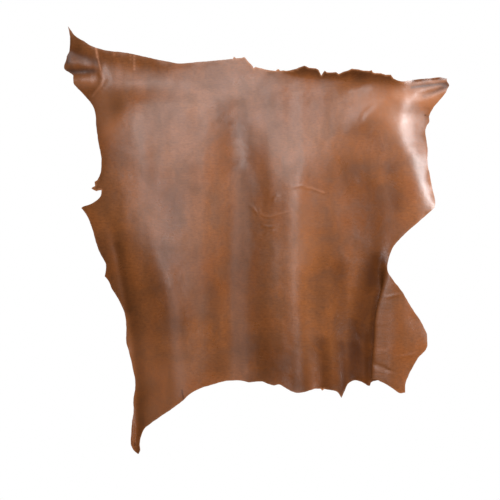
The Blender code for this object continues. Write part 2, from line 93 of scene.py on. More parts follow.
# The cut edge, clockwise from the tip of the upper left corner. Soft stretches curve through their points.
Stretch = namedtuple("Stretch", "name line points")
cutEdge = [
    Stretch("neck edge", "soft", [
        (68.2, 26.5), (70.3, 29.5), (75.3, 36.0), (84.4, 41.6), (93.4, 46.7), (107.4, 50.5), (126.5, 52.7),
        (147.0, 57.2), (170.0, 62.0), (178.8, 63.3), (190.3, 62.7), (216.0, 60.4), (233.0, 58.9)]),
    Stretch("torn top edge", "ragged", [
        (233.0, 58.9), (234.0, 56.8), (236.0, 58.4), (241.5, 58.0), (244.4, 56.9), (247.6, 60.5),
        (252.7, 66.4), (253.5, 68.2), (255.7, 67.0), (268.0, 70.1), (275.5, 70.7), (278.1, 69.3),
        (279.9, 70.7), (290.0, 70.5), (296.0, 68.9), (304.4, 65.5), (307.7, 67.4), (315.8, 68.5),
        (318.7, 70.1), (321.2, 75.8), (324.6, 70.8), (326.8, 72.3), (336.4, 72.3), (338.8, 74.0),
        (342.2, 72.6), (352.0, 68.6), (369.4, 71.1), (371.8, 70.1), (372.6, 72.3), (375.2, 73.0),
        (381.0, 73.0), (385.5, 75.2), (391.0, 74.5), (393.6, 78.4)]),
    Stretch("upper right corner, top", "soft", [
        (393.6, 78.4), (397.2, 80.3), (401.6, 81.4), (408.0, 80.7), (418.2, 79.2), (429.8, 78.4),
        (439.6, 77.2), (446.8, 78.6)]),
    Stretch("upper right corner, end", "soft", [
        (446.8, 78.6), (446.7, 80.9), (449.1, 85.1), (447.4, 88.6), (445.6, 92.6)]),
    Stretch("upper right corner, under", "soft", [
        (445.6, 92.6), (440.5, 99.1), (436.0, 104.2), (431.6, 110.6), (428.7, 116.6)]),
    Stretch("right flank", "soft", [
        (428.7, 116.6), (429.2, 121.8), (426.8, 125.6), (425.2, 131.4), (426.1, 139.1), (427.4, 149.3),
        (427.4, 160.8), (431.2, 183.7), (435.0, 201.0), (434.8, 207.7)]),
    Stretch("right bay", "soft", [
        (434.8, 207.7), (423.8, 217.2), (409.4, 229.9), (398.0, 240.8), (392.8, 247.6), (388.5, 259.7),
        (387.9, 269.5), (393.3, 280.0), (402.8, 292.6), (412.0, 308.3), (420.4, 320.6), (426.9, 333.9)]),
    Stretch("right lobe", "soft", [
        (426.9, 333.9), (427.1, 340.0), (426.7, 348.1), (418.1, 358.0), (412.0, 368.4), (405.5, 382.9),
        (405.1, 392.5)]),
    Stretch("lobe hem", "soft", [
        (405.1, 392.5), (399.8, 393.2), (392.1, 387.9), (385.2, 383.7)]),
    Stretch("hem in the overlap", "soft", [
        (385.2, 383.7), (383.5, 381.4), (382.3, 379.5), (379.7, 379.3), (373.1, 379.6), (369.5, 381.2),
        (368.3, 386.0)]),
    Stretch("hem arch", "soft", [
        (368.3, 386.0), (363.3, 382.7), (355.6, 380.4), (351.8, 381.0), (348.7, 382.9), (346.4, 386.4),
        (344.5, 390.9), (341.5, 397.8)]),
    Stretch("hem, right", "soft", [
        (341.5, 397.8), (338.0, 392.9), (335.3, 391.1), (330.7, 390.2), (324.0, 389.0)]),
    Stretch("hem nib", "ragged", [
        (324.0, 389.0), (322.2, 390.6), (320.9, 389.0)]),
    Stretch("hem, middle", "soft", [
        (320.9, 389.0), (315.3, 388.8), (310.0, 390.4), (304.7, 391.9), (296.3, 393.0), (284.6, 387.5),
        (280.2, 384.9), (277.5, 384.6), (273.9, 385.5), (268.6, 384.0), (262.3, 381.6), (257.9, 381.5),
        (248.9, 382.2), (240.0, 380.4), (225.3, 381.1), (211.9, 384.8), (200.4, 388.3), (189.4, 394.5),
        (183.8, 400.1)]),
    Stretch("leg, inner edge", "soft", [
        (183.8, 400.1), (169.8, 410.3), (151.7, 422.8), (144.5, 428.5), (141.5, 434.8), (139.6, 442.4),
        (139.9, 451.0), (138.4, 454.0)]),
    Stretch("leg end", "soft", [
        (138.4, 454.0), (134.0, 450.7), (131.1, 444.9), (130.8, 439.9), (131.1, 435.7)]),
    Stretch("left flank, lower", "soft", [
        (131.1, 435.7), (132.0, 422.3), (133.5, 412.0), (133.4, 400.3), (135.4, 384.5), (132.5, 366.8),
        (128.3, 349.5), (126.5, 343.1), (126.2, 326.5), (124.4, 312.5), (118.1, 298.5), (112.0, 288.9),
        (109.1, 281.9), (104.7, 276.1)]),
    Stretch("left nib", "soft", [
        (104.7, 276.1), (105.9, 271.0), (105.9, 263.7)]),
    Stretch("left flank, middle", "soft", [
        (105.9, 263.7), (98.9, 250.0), (95.4, 239.7), (92.2, 227.9), (88.4, 218.0), (83.6, 210.7),
        (81.4, 208.2)]),
    Stretch("left spur", "soft", [
        (81.4, 208.2), (82.3, 206.9), (90.0, 204.3), (97.6, 199.5), (100.6, 196.0), (101.5, 190.2)]),
    Stretch("left tag", "ragged", [
        (101.5, 190.2), (96.4, 191.1), (91.3, 188.7), (92.2, 187.1), (94.8, 185.8), (94.4, 181.7),
        (97.6, 179.8)]),
    Stretch("left flank, upper", "soft", [
        (97.6, 179.8), (100.8, 172.1), (101.5, 160.0), (98.5, 141.4), (96.2, 126.0), (95.7, 115.9),
        (93.4, 106.9), (87.5, 98.7), (77.3, 87.8), (73.6, 83.5), (73.1, 78.0)]),
    Stretch("upper left corner, bulge", "soft", [
        (73.1, 78.0), (73.3, 75.5), (69.7, 72.7), (64.6, 69.4), (64.0, 66.3), (66.3, 59.7), (66.6, 56.7)]),
    Stretch("upper left corner, side", "soft", [
        (66.6, 56.7), (69.0, 52.0), (69.9, 44.4), (70.2, 40.3), (69.1, 31.1), (68.2, 26.5)]),
]

# Upright folds, row by row from the top: height in the picture, place across, rise forward in metres
# (troughs are below zero), and reach to the left and to the right.
Pipe = namedtuple("Pipe", "name rows")
pipes = [
    Pipe("left swell", [
        (80, 132, 0.002, 44, 75), (105, 128, 0.012, 50, 75), (140, 126, 0.019, 62, 78),
        (180, 124, 0.021, 60, 84), (205, 126, 0.022, 58, 84), (235, 136, 0.023, 58, 78),
        (265, 150, 0.023, 60, 70), (300, 164, 0.023, 60, 62), (345, 170, 0.024, 58, 58),
        (390, 175, 0.025, 56, 56)]),
    Pipe("left crest", [
        (96, 138, 0.0, 12, 11), (112, 138, 0.0010, 12, 11), (145, 138, 0.0010, 13, 11),
        (175, 138, 0.0006, 14, 12), (205, 137, 0.0004, 14, 12), (235, 146, 0.0010, 13, 12),
        (265, 160, 0.0022, 15, 12), (300, 172, 0.0034, 16, 12), (345, 174, 0.0038, 16, 12),
        (390, 180, 0.0036, 13, 12)]),
    Pipe("left shoulder", [
        (78, 118, 0.0, 30, 40), (112, 118, 0.006, 30, 42), (150, 114, 0.007, 30, 44),
        (190, 112, 0.005, 30, 44), (225, 118, 0.002, 30, 40), (255, 125, 0.0, 30, 40)]),
    Pipe("second pipe", [
        (130, 196, 0.0, 10, 10), (160, 198, 0.001, 9, 10), (230, 201, 0.0015, 9, 10),
        (270, 202, 0.001, 9, 10), (305, 203, 0.0, 9, 10)]),
    Pipe("middle trough", [
        (95, 230, 0.0, 22, 24), (118, 234, -0.005, 22, 23), (142, 239, -0.009, 22, 23),
        (165, 242, -0.011, 23, 24), (195, 244, -0.009, 24, 25), (225, 242, -0.007, 22, 26),
        (250, 240, -0.006, 20, 25), (300, 238, -0.007, 20, 26), (345, 240, -0.008, 20, 26),
        (390, 238, -0.008, 22, 26)]),
    Pipe("trough's sharp bottom", [
        (130, 239, 0.0, 9, 9), (170, 243, -0.0006, 9, 9), (205, 245, -0.0009, 9, 8),
        (250, 240, -0.0007, 8, 9), (300, 236, -0.0010, 8, 8), (345, 239, -0.0008, 9, 8),
        (390, 236, -0.0010, 8, 8)]),
    Pipe("ridge in the trough", [
        (160, 248, 0.0, 6, 6), (185, 250, 0.0007, 6, 6), (210, 252, 0.0004, 6, 6), (225, 252, 0.0, 6, 6)]),
    Pipe("low ridge", [
        (255, 236, 0.0, 5, 5), (285, 234, 0.0007, 5, 5), (330, 238, 0.0008, 5, 5),
        (375, 240, 0.0006, 5, 5)]),
    Pipe("keel", [
        (100, 326, 0.0, 60, 60), (130, 320, 0.005, 52, 58), (155, 313, 0.011, 50, 62),
        (178, 303, 0.015, 44, 68), (202, 299, 0.018, 42, 70), (250, 299, 0.020, 42, 66),
        (300, 300, 0.023, 44, 52), (345, 301, 0.026, 46, 40), (390, 302, 0.028, 48, 38)]),
    Pipe("keel's crest", [
        (145, 309, 0.0, 12, 12), (175, 300, 0.0016, 12, 11), (212, 298, 0.0020, 13, 11),
        (250, 300.5, 0.0021, 12, 12), (290, 298.5, 0.0026, 13, 11), (340, 302, 0.0026, 12, 10),
        (390, 304, 0.0024, 12, 10)]),
    Pipe("right hollow", [
        (110, 365, 0.0, 20, 22), (140, 372, -0.003, 24, 18), (180, 376, -0.004, 28, 16),
        (220, 378, -0.005, 28, 16), (262, 377, -0.007, 26, 14), (300, 373, -0.010, 28, 14),
        (345, 370, -0.012, 29, 14), (395, 369, -0.013, 29, 14)]),
    Pipe("dip beside the hem point", [
        (340, 321, 0.0, 6, 6), (375, 321, -0.0025, 6, 6), (398, 321, -0.003, 6, 6)]),
    Pipe("ridge to the hem point", [
        (300, 336, 0.0, 8, 8), (345, 338, 0.0025, 9, 8), (398, 342, 0.005, 9, 8)]),
    Pipe("groove by the left edge", [
        (205, 106, 0.0, 6, 7), (230, 112, -0.002, 6, 7), (252, 118, -0.0045, 6, 7),
        (283, 124, -0.006, 6, 7), (313, 128, -0.0055, 6, 7), (350, 134, -0.005, 5, 6),
        (400, 137, -0.006, 4, 6), (440, 137, -0.006, 4, 5)]),
    Pipe("right lobe crown", [
        (285, 392, 0.0, 14, 16), (335, 402, 0.004, 16, 18), (385, 397, 0.002, 14, 14)]),
]

# Where the sheet turns back towards a side: height, place across, fall in metres a dot once turned,
# and softness.
Turn = namedtuple("Turn", "name side rows")
turns = [
    Turn("left turn", -1.0, [
        (80, 127, 0.0, 7), (95, 124, 0.0004, 6), (108, 118, 0.0010, 6), (118, 111, 0.0010, 6),
        (130, 104, 0.0009, 6), (144, 98, 0.0006, 6), (158, 93, 0.0003, 7), (178, 91, 0.0001, 8),
        (205, 95, 0.0001, 8), (228, 104, 0.0002, 8), (252, 117, 0.0004, 8), (282, 129, 0.0006, 8),
        (312, 137, 0.0006, 8), (350, 143, 0.0006, 7), (400, 146, 0.0005, 7), (450, 146, 0.0004, 7)]),
    Turn("right turn", 1.0, [
        (66, 404, 0.0002, 6), (80, 404, 0.0003, 5), (95, 406, 0.0005, 5), (107, 405, 0.0009, 4.5),
        (117, 402.5, 0.0010, 4.5), (128, 402, 0.0010, 4.5), (140, 404, 0.0010, 4.5),
        (150, 408, 0.0010, 4.5), (160, 413, 0.0010, 4.5), (172, 417, 0.0011, 4.5),
        (185, 421, 0.0011, 4.5), (198, 426, 0.0011, 5), (212, 432, 0.0009, 6), (235, 445, 0.0006, 8)]),
    Turn("right shoulder", 1.0, [
        (70, 380, 0.00015, 8), (98, 378, 0.0002, 9), (125, 379, 0.0002, 9), (140, 386, 0.0001, 9),
        (158, 392, 0.0, 9)]),
]

# Short folds along a path: rise in metres, reach in dots, and the shares left at both ends.
Fold = namedtuple("Fold", "name rise reach starts ends path")
shortFolds = [
    Fold("crest to the right corner", 0.003, 11.0, 0.4, 0.2, [
        (428, 95), (403, 100), (380, 108), (362, 119), (345, 132)]),
    Fold("top left edge nodding forward", 0.011, 12.0, 0.9, 0.2, [
        (86, 41), (107, 48), (128, 50), (148, 54), (170, 58), (192, 59)]),
    Fold("torn edge nodding forward", 0.026, 11.0, 0.1, 0.5, [(266, 60), (305, 61), (352, 64), (398, 71)]),
    Fold("wedge below the torn edge", -0.003, 6.0, 0.2, 0.2, [(372, 84), (356, 89), (338, 93)]),
    Fold("left corner crease", -0.0006, 2.2, 1.0, 0.6, [(93.5, 47), (97, 60), (100.5, 71)]),
    Fold("left corner ridge", 0.0034, 5.0, 0.6, 0.4, [(101, 71), (103.5, 79), (100.5, 86), (92.5, 96)]),
    Fold("ridge beside the left grip", 0.0012, 5.5, 0.8, 0.2, [(70, 37), (74, 43), (84, 47), (94, 51)]),
    Fold("left corner upper valley", -0.0016, 5.5, 1.0, 0.3, [(69, 49), (80, 55.5), (96, 62)]),
    Fold("left corner bulge", 0.0020, 5.4, 1.0, 0.2, [(66, 64), (77, 63.5), (92, 65.5)]),
    Fold("left corner pinch", -0.0042, 5.0, 1.0, 0.3, [(65, 72), (80, 72), (95, 71)]),
    Fold("left corner lower pleat", 0.0022, 6.0, 0.5, 0.4, [(74, 81), (86, 80), (98, 80)]),
    Fold("right corner rolled back", -0.0014, 3.2, 0.2, 0.8, [(408, 79.5), (428, 77), (445, 76)]),
    Fold("right corner upper pleat", 0.0011, 3.2, 0.2, 0.8, [(402, 85), (425, 82.5), (446, 80.5)]),
    Fold("right corner upper valley", -0.0008, 3.0, 0.2, 1.0, [(408, 87.8), (425, 85.8), (446, 83.4)]),
    Fold("right corner lower pleat", 0.0011, 3.2, 0.2, 0.8, [(411, 92), (428, 88.6), (442, 85.6)]),
    Fold("right corner lower valley", -0.0013, 3.6, 0.2, 1.0, [(421, 97), (434, 92.6), (447, 87)]),
]

# Below the right bay the sheet doubles over itself, the lobe in front, along this line.
overlap = {
    "line": [(384, 262), (382.4, 286), (380.6, 306), (379.8, 322), (379.2, 340), (377.8, 355), (376.4, 378),
             (376.4, 400)],
    "reach": 9.0,                 # dots on both sides of the line that turn back
    "fineReach": 1.3,             # that reach, times this, takes the fine mesh
    "pull": 3.5,                  # how strongly they are drawn across the line
    "depth": 0.008,               # metres forward on the lobe's side, and back on the other
    "turnHeights": (262.0, 325.0),
    "depthHeights": (236.0, 296.0),
    "fadeLeft": 18.0,             # dots in which the depth fades out beyond the reach
    "fadeRight": 30.0,
}

# Small creases and wrinkles: the same columns as the short folds.
creases = [
    Fold("squiggle", 0.0006, 1.4, 0.3, 0.5, [
        (300, 186), (306.7, 187.2), (312, 188), (318, 190.6), (323.9, 192.6)]),
    Fold("squiggle shadow", -0.0004, 1.8, 0.3, 0.5, [(304, 190), (311, 191), (317, 193.6), (322, 195)]),
    Fold("line beside the squiggle", 0.0006, 1.3, 0.2, 0.2, [(292, 188.4), (297, 186.6), (304, 185.4)]),
    Fold("long crease", 0.0004, 1.3, 0.4, 0.3, [
        (259, 210), (260.6, 213.6), (264, 216), (270, 216.6), (277, 214.6), (286, 212), (297, 210.2)]),
    Fold("long crease shadow", -0.0003, 1.5, 0.4, 0.3, [(261, 217), (267, 219), (276, 217.4)]),
    Fold("second crease", 0.0007, 1.3, 0.3, 0.3, [(262, 225), (266, 226.8), (273, 227), (279.5, 224)]),
    Fold("third crease", 0.0006, 1.3, 0.3, 0.3, [(264, 235.4), (269, 231.6), (275, 229.6)]),
    Fold("crease up to the squiggle", 0.0007, 1.4, 0.3, 0.3, [(272.6, 202), (275, 197.6), (280, 194.6)]),
    Fold("crease left of them", 0.0005, 1.6, 0.3, 0.3, [(248, 204), (254, 209), (258, 215)]),
    Fold("crease in the deep trough", -0.0010, 2.0, 0.3, 0.3, [(353.6, 318), (356, 331), (360.6, 342)]),
    Fold("lobe upper wrinkle", 0.0010, 1.5, 0.3, 0.3, [(388, 297.4), (394, 295.6), (402, 294)]),
    Fold("lobe hem wrinkle", 0.0009, 1.5, 0.3, 0.3, [(396, 357), (404, 356.4), (416, 353.6)]),
    Fold("lobe curved wrinkle", -0.0011, 1.7, 0.4, 0.3, [
        (379, 353), (381, 362), (386, 369.4), (397, 372.8)]),
    Fold("crescent", -0.0010, 2.2, 0.3, 0.3, [(361, 121), (364.6, 112.6), (374, 105.6)]),
    Fold("second crescent", -0.0007, 2.0, 0.3, 0.3, [(368, 133), (373, 124), (381, 118)]),
    Fold("scratch ridge", 0.0003, 0.9, 0.9, 0.3, [(134.2, 55.4), (134.0, 62), (134.5, 72)]),
    Fold("short scratch ridge", 0.00025, 0.8, 0.9, 0.3, [(130.4, 55), (130.7, 63.6)]),
    Fold("edge scratch", 0.00025, 0.8, 0.9, 0.3, [(112.4, 51.4), (114.2, 55.4)]),
]

# The places that take the fine mesh: low corner and high corner, in dots.
finePlaces = [
    ((60, 24), (108, 100)),
    ((404, 74), (452, 104)),
    ((254, 182), (328, 238)),
    ((300, 64), (396, 80)),
    ((376, 290), (420, 300)),
    ((376, 350), (420, 376)),
    ((126, 424), (146, 456)),
    ((177, 386), (190, 404)),
]

# Soft unevenness: how many times finer it is across than down, cell in dots, strength and seed.
Lumps = namedtuple("Lumps", "finer cell strength seed")
edgeLumps = [Lumps(1.0, 2.6, 1.0, 3), Lumps(1.0, 7.0, 0.8, 4)]
curlLumps = [Lumps(1.0, 9.0, 1.0, 14)]
faceLumps = [
    Lumps(1.0, 13.0, 1.0, 11), Lumps(1.0, 6.0, 0.6, 12), Lumps(1.0, 3.0, 0.3, 13),
    Lumps(5.0, 52.0, 2.0, 15), Lumps(2.0, 58.0, 4.0, 16)]


def smoothRise(values, low, high):
    # 0 up to low, 1 from high on, and smooth between them
    share = np.clip((values - low) / (high - low), 0.0, 1.0)
    return share * share * (3.0 - 2.0 * share)


def latticeNoise(points, cellSize, seed, count=96):
    # soft noise from -1 to 1 on a lattice of count cells each way, which then repeats
    lattice = np.random.default_rng(seed).uniform(-1.0, 1.0, (count, count))
    place = points / cellSize
    cell = np.floor(place).astype(int)
    part = smoothRise(place - cell, 0.0, 1.0)
    x0, y0 = cell[:, 0] % count, cell[:, 1] % count
    x1, y1 = (x0 + 1) % count, (y0 + 1) % count
    upper = lattice[y0, x0] * (1.0 - part[:, 0]) + lattice[y0, x1] * part[:, 0]
    lower = lattice[y1, x0] * (1.0 - part[:, 0]) + lattice[y1, x1] * part[:, 0]
    return upper * (1.0 - part[:, 1]) + lower * part[:, 1]


def sumOfLumps(points, rows):
    return sum(row.strength * latticeNoise(points * (row.finer, 1.0), row.cell, row.seed) for row in rows)


def evenRun(run, step):
    lengths = np.concatenate([[0.0], np.cumsum(np.linalg.norm(np.diff(run, axis=0), axis=1))])
    pieces = max(1, round(lengths[-1] / step))
    wanted = np.linspace(0.0, lengths[-1], pieces + 1)[:-1]
    return np.column_stack([np.interp(wanted, lengths, run[:, 0]), np.interp(wanted, lengths, run[:, 1])])


def curveThrough(points, step):
    # evenly spaced points on a centripetal Catmull-Rom curve, without its last point
    knots = [np.array(point, dtype=float) for point in points]
    knots = [2.0 * knots[0] - knots[1]] + knots + [2.0 * knots[-1] - knots[-2]]
    run = []
    for a, b, c, d in zip(knots, knots[1:], knots[2:], knots[3:]):
        t1 = math.sqrt(np.linalg.norm(b - a))
        t2 = t1 + math.sqrt(np.linalg.norm(c - b))
        t3 = t2 + math.sqrt(np.linalg.norm(d - c))
        for t in np.linspace(t1, t2, 16, endpoint=False):
            ab = (a * (t1 - t) + b * t) / t1
            bc = (b * (t2 - t) + c * (t - t1)) / (t2 - t1)
            cd = (c * (t3 - t) + d * (t - t2)) / (t3 - t2)
            abc = (ab * (t2 - t) + bc * t) / t2
            bcd = (bc * (t3 - t) + cd * (t - t1)) / (t3 - t1)
            run.append((abc * (t2 - t) + bcd * (t - t1)) / (t2 - t1))
    run.append(knots[-2])
    return evenRun(np.array(run), step)


def tornThrough(points, step):
    # the points themselves, with long straights divided, without the last point
    run = []
    for a, b in zip(points, points[1:]):
        pieces = max(1, round(math.dist(a, b) / step))
        for piece in range(pieces):
            share = piece / pieces
            run.append((a[0] + (b[0] - a[0]) * share, a[1] + (b[1] - a[1]) * share))
    return np.array(run)


def edgeLoop():
    runs = []
    tornShares = []
    for stretch in cutEdge:
        draw = curveThrough if stretch.line == "soft" else tornThrough
        run = draw(stretch.points, hideShape["edgeStep"])
        runs.append(run)
        tornShares.append(np.full(len(run), 1.0 if stretch.line == "ragged" else 0.0))
    loop = np.vstack(runs)
    ahead = np.roll(loop, -1, axis=0) - np.roll(loop, 1, axis=0)
    outward = np.column_stack([ahead[:, 1], -ahead[:, 0]]) / np.linalg.norm(ahead, axis=1)[:, None]
    size = hideShape["edgeRagged"] * (1.0 + hideShape["tornExtra"] * np.concatenate(tornShares))
    return loop + outward * (sumOfLumps(loop, edgeLumps) * size)[:, None]


def toPath(points, path):
    # each point's distance to a path, and how far along it the nearest spot lies, from 0 to 1
    path = np.array(path, dtype=float)
    lengths = np.linalg.norm(np.diff(path, axis=0), axis=1)
    starts = np.concatenate([[0.0], np.cumsum(lengths)])
    nearest = np.full(len(points), np.inf)
    along = np.zeros(len(points))
    for a, b, length, start in zip(path, path[1:], lengths, starts):
        share = np.clip(((points - a) @ (b - a)) / length ** 2, 0.0, 1.0)
        distance = np.linalg.norm(points - (a + share[:, None] * (b - a)), axis=1)
        closer = distance < nearest
        nearest[closer] = distance[closer]
        along[closer] = (start + share * length)[closer]
    return nearest, along / starts[-1]


def through(rows, column, wanted):
    # a smooth run through one column of rows, which are ordered by height, and level beyond both ends
    heights = np.array([row[0] for row in rows], dtype=float)
    values = np.array([row[column] for row in rows], dtype=float)
    slopes = np.gradient(values, heights)
    slopes[0] = slopes[-1] = 0.0
    index = np.clip(np.searchsorted(heights, wanted) - 1, 0, len(rows) - 2)
    gap = heights[index + 1] - heights[index]
    t = np.clip((wanted - heights[index]) / gap, 0.0, 1.0)
    start = (1.0 + 2.0 * t) * (1.0 - t) ** 2 * values[index] + t * (1.0 - t) ** 2 * gap * slopes[index]
    return start + t * t * (3.0 - 2.0 * t) * values[index + 1] - t * t * (1.0 - t) * gap * slopes[index + 1]


def sumOfPipes(points):
    total = np.zeros(len(points))
    for pipe in pipes:
        place, rise, left, right = [through(pipe.rows, column, points[:, 1]) for column in (1, 2, 3, 4)]
        offset = points[:, 0] - place
        total += rise * np.exp(-(offset / np.where(offset < 0.0, left, right)) ** 2)
    return total


def sumOfTurns(points):
    total = np.zeros(len(points))
    for turn in turns:
        place, fall, soft = [through(turn.rows, column, points[:, 1]) for column in (1, 2, 3)]
        total -= fall * soft * np.logaddexp(0.0, turn.side * (points[:, 0] - place) / soft)
    return total


def nearPath(points, path, reach):
    # the points that a path can touch, so that small marks stay quick
    path = np.array(path, dtype=float)
    low, high = path.min(axis=0) - 3.5 * reach, path.max(axis=0) + 3.5 * reach
    return np.all((points > low) & (points < high), axis=1)


def sumOfFolds(points, rows):
    total = np.zeros(len(points))
    for row in rows:
        near = nearPath(points, row.path, row.reach)
        distance, along = toPath(points[near], row.path)
        share = np.interp(along, [0.0, 0.3, 0.7, 1.0], [row.starts, 1.0, 1.0, row.ends])
        total[near] += row.rise * share * np.exp(-(distance / row.reach) ** 2)
    return total


def isInside(points, loop):
    inside = np.zeros(len(points), dtype=bool)
    for a, b in zip(loop, np.roll(loop, -1, axis=0)):
        drop = b[1] - a[1]
        if drop == 0.0:
            continue
        crosses = (a[1] > points[:, 1]) != (b[1] > points[:, 1])
        reach = a[0] + (points[:, 1] - a[1]) * (b[0] - a[0]) / drop
        inside ^= crosses & (points[:, 0] < reach)
    return inside


def staggeredGrid(loop, step, rowShare=0.866):
    # near equal-sided triangles: every second row is half a step over
    low, high = loop.min(axis=0), loop.max(axis=0)
    rows = []
    for row, y in enumerate(np.arange(low[1], high[1], step * rowShare)):
        xs = np.arange(low[0] + 0.5 * step * (row % 2), high[0], step)
        rows.append(np.column_stack([xs, np.full(len(xs), y)]))
    return np.vstack(rows)


def overlapOffset(points):
    # place beside the overlap's line, in reaches, to the right above zero
    line = np.array(overlap["line"])
    return (points[:, 0] - np.interp(points[:, 1], line[:, 1], line[:, 0])) / overlap["reach"]


def takesFineMesh(points):
    besideLine = np.abs(overlapOffset(points)) < overlap["fineReach"]
    fine = besideLine & (points[:, 1] > overlap["turnHeights"][0])
    for low, high in finePlaces:
        fine |= np.all((points > low) & (points < high), axis=1)
    return fine


def edgeDistance(points, loop, blockSize=60):
    # distance to the nearest point of the cut edge, worked out in blocks
    nearest = np.full(len(points), np.inf)
    for start in range(0, len(loop), blockSize):
        block = loop[start:start + blockSize]
        gaps = np.linalg.norm(points[:, None, :] - block[None, :, :], axis=2)
        nearest = np.minimum(nearest, gaps.min(axis=1))
    return nearest


def innerPoints(loop):
    # both meshes keep a gap to the cut edge, as a share of their step
    kept = []
    for step, gap, isFine in ((hideShape["gridStep"], 0.75, False), (hideShape["fineStep"], 0.85, True)):
        points = staggeredGrid(loop, step)
        points = points[takesFineMesh(points) == isFine]
        points = points[isInside(points, loop)]
        kept.append(points[edgeDistance(points, loop) > gap * step])
    return np.vstack(kept)


def forwardOf(points):
    # how far each spot stands forward of the hanging plane, in metres
    across = (points[:, 0] - hideShape["bellyMiddle"]) / hideShape["bellyReach"]
    atTop = hideShape["bellyAtTop"]
    hang = atTop + (1.0 - atTop) * smoothRise(points[:, 1], *hideShape["bellyHeights"])
    rise = hideShape["bellyForward"] * hang * (1.0 - across ** 2)
    rise -= hideShape["hemTuck"] * smoothRise(points[:, 1], *hideShape["tuckHeights"])
    return rise + sumOfPipes(points) + sumOfTurns(points) + sumOfFolds(points, shortFolds)


def fineRelief(points, edgeGap):
    lumps = hideShape["unevenness"] * sumOfLumps(points, faceLumps)
    curl = sumOfLumps(points, curlLumps) * np.exp(-(edgeGap / hideShape["edgeCurlReach"]) ** 2)
    return sumOfFolds(points, creases) + lumps + hideShape["edgeWave"] * curl


def foldOver(points):
    # the overlap's shift to the right, in dots, and its lift forward, in metres
    offset = overlapOffset(points)
    grown = smoothRise(points[:, 1], *overlap["turnHeights"])
    near = np.clip(offset, -1.0, 1.0)
    shift = -overlap["pull"] * grown * overlap["reach"] * near * (1.0 - near ** 2) ** 2
    step = near * (15.0 - 10.0 * near ** 2 + 3.0 * near ** 4) / 8.0
    beyond = np.maximum(np.abs(offset) - 1.0, 0.0) * overlap["reach"]
    fade = np.where(offset < 0.0, overlap["fadeLeft"], overlap["fadeRight"])
    raised = smoothRise(points[:, 1], *overlap["depthHeights"])
    return shift, overlap["depth"] * raised * step * np.exp(-(beyond / fade) ** 2)


def hangInSpace(points, edgeGap):
    shift, lift = foldOver(points)
    depth = -(forwardOf(points) + lift + fineRelief(points, edgeGap))
    spread = (hideShape["eyeDistance"] + depth) / hideShape["eyeDistance"]
    middle, origin = hideShape["pictureMiddle"], hideShape["pictureOrigin"]
    x = (middle[0] - origin[0]) * dot + (points[:, 0] + shift - middle[0]) * dot * spread
    z = (origin[1] - middle[1]) * dot + (middle[1] - points[:, 1]) * dot * spread
    return np.column_stack([x, depth, z])
